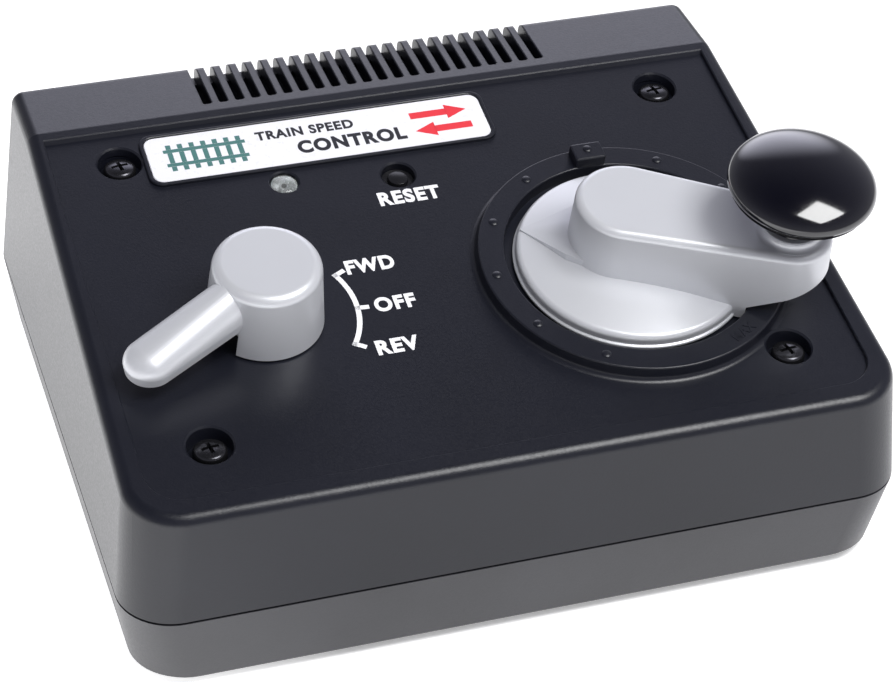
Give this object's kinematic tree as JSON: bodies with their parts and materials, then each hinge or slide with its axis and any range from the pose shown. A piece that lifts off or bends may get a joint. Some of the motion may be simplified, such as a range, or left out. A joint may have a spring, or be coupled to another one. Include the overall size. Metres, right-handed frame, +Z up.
{
  "type": "model railway speed controller",
  "caption": "Sloping desktop controller for a model railway, with a crank-arm speed dial, a direction lever, an indicator and a reset button.",
  "frame": {"origin": "middle of the footprint, on the table under the feet", "axes": "+Z up, +Y towards the rear, +X to the operator's right"},
  "size_m": [0.136, 0.1104, 0.0703],
  "materials": {
    "case_black": "fine spark-eroded texture, semi-matt",
    "case_tray": "fine spark-eroded texture, semi-matt",
    "black_steel": "black oxide",
    "foot_rubber": "matt rubber",
    "label_silver": "satin foil",
    "label_white": "printed satin",
    "lens_clear": "clear moulded lens",
    "part_black": "moulded component body",
    "gloss_black": "polished moulding",
    "steel": "zinc plated",
    "switch_green": "moulded switch body",
    "dial_silver": "satin silver paint on plastic",
    "control_grey": "pressed steel can",
    "board_green": "solder mask",
    "capacitor_blue": "printed sleeve",
    "relay_cream": "moulded nylon",
    "aluminium": "extruded",
    "brass": "plated contact",
    "wire_red": "insulated wire",
    "wire_yellow": "insulated wire",
    "wire_grey": "insulated wire"
  },
  "bodies": {
    "case": {"upper_case": "case_black", "lower_case": "case_tray", "case_screws": "black_steel", "rubber_feet": "foot_rubber", "rating_plate": "label_silver", "name_plate": "label_white", "power_led": "lens_clear", "circuit_breaker": "part_black", "direction_switch": "switch_green", "direction_nut": "steel", "speed_control": "control_grey", "speed_washer": "steel", "speed_nut": "steel", "main_board": "board_green", "board_screws": "steel", "capacitors": "capacitor_blue", "rectifier": "part_black", "control_chip": "part_black", "relay": "relay_cream", "heat_sink": "aluminium", "power_transistor": "part_black", "transistor_screw": "steel", "board_headers": "relay_cream", "power_switch": "part_black", "input_jack": "part_black", "input_jack_nut": "steel", "track_socket": "relay_cream", "track_contacts": "brass", "input_wires": "wire_red", "output_wires": "wire_yellow", "control_wires": "wire_grey"},
    "dial": {"speed_dial": "dial_silver", "speed_shaft": "steel", "crank_pin": "steel"},
    "knob": {"crank_knob": "gloss_black"},
    "lever": {"direction_lever": "dial_silver", "direction_shaft": "steel"},
    "reset": {"reset_button": "gloss_black"},
    "rocker": {"power_rocker": "gloss_black"}
  },
  "joints": [
    {"name": "speed_turn", "type": "hinge", "parent": "case", "child": "dial", "pos_m": [0.0303, -0.01474, 0.04226], "axis": [0, -0.1882, 0.9821], "range_deg": [-212.8, 87.2]},
    {"name": "knob_spin", "type": "hinge", "parent": "dial", "child": "knob", "pos_m": [0.05262, -0.02917, 0.05659], "axis": [0, -0.1882, 0.9821], "continuous": true},
    {"name": "direction_turn", "type": "hinge", "parent": "case", "child": "lever", "pos_m": [-0.0348, -0.01395, 0.04241], "axis": [0, -0.1882, 0.9821], "range_deg": [-50, 0]},
    {"name": "reset_press", "type": "slide", "parent": "case", "child": "reset", "axis": [0, 0.1882, -0.9821], "range_m": [0, 0.001], "stiffness_N_per_m": 400},
    {"name": "power_rock", "type": "hinge", "parent": "case", "child": "rocker", "pos_m": [0.045, 0.05025, 0.03823], "axis": [1, 0, 0], "range_deg": [-16, 0]}
  ]
}
